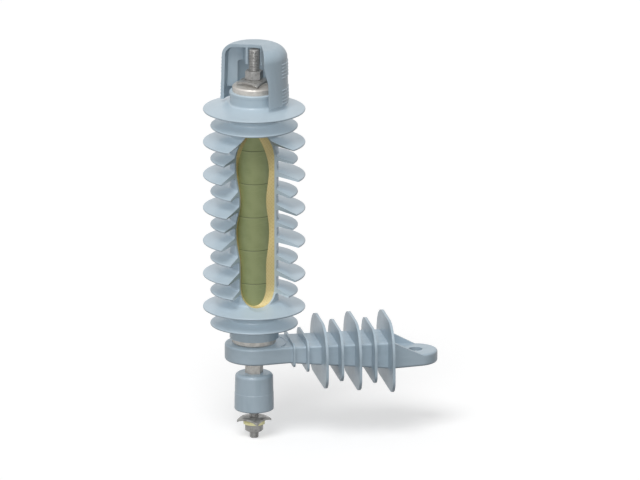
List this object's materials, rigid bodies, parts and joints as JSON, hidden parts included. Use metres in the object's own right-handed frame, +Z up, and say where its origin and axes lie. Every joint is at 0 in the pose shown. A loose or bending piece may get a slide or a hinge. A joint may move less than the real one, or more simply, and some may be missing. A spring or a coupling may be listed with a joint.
{
  "type": "distribution surge arrester",
  "caption": "Polymer-housed distribution surge arrester, cut open to show its varistor stack, on an insulating bracket with disconnector, cap and terminals.",
  "frame": {"origin": "centre of the bracket lug's mounting hole, on the lug's lower seating face", "axes": "+Z up along the arrester and the mounting hole, -X from the hole towards the arrester, Y across the arm"},
  "size_m": [0.2542, 0.11, 0.4377],
  "materials": {
    "housing_rubber": "satin, pale blue-grey silicone rubber",
    "moulded_polymer": "satin, pale blue-grey moulded polymer",
    "varistor_ceramic": "olive green glazed zinc oxide ceramic",
    "wrap_composite": "tan glass-fibre and epoxy",
    "fitting_alloy": "turned, satin",
    "terminal_steel": "galvanised, satin",
    "zinc_yellow": "yellow passivated zinc",
    "grading_ceramic": "dark, matt"
  },
  "bodies": {
    "root": {"bottom_end_fitting": "fitting_alloy", "bottom_stud": "terminal_steel", "composite_wrap": "wrap_composite", "disconnector_base": "moulded_polymer", "disconnector_body": "moulded_polymer", "disconnector_cartridge": "zinc_yellow", "disconnector_spring": "terminal_steel", "disconnector_terminal": "fitting_alloy", "grading_resistor": "grading_ceramic", "ground_clamp": "terminal_steel", "ground_nut": "terminal_steel", "ground_stud": "terminal_steel", "ground_washer": "zinc_yellow", "housing": "housing_rubber", "insulating_bracket": "moulded_polymer", "line_clamp": "terminal_steel", "line_nut": "terminal_steel", "line_stud": "terminal_steel", "lower_contact_plate": "fitting_alloy", "protective_cap": "moulded_polymer", "stack_spring": "terminal_steel", "top_end_fitting": "fitting_alloy", "upper_contact_plate": "fitting_alloy", "varistor_disc_1": "varistor_ceramic", "varistor_disc_2": "varistor_ceramic", "varistor_disc_3": "varistor_ceramic", "varistor_disc_4": "varistor_ceramic", "varistor_disc_5": "varistor_ceramic", "varistor_disc_6": "varistor_ceramic"}
  },
  "joints": []
}
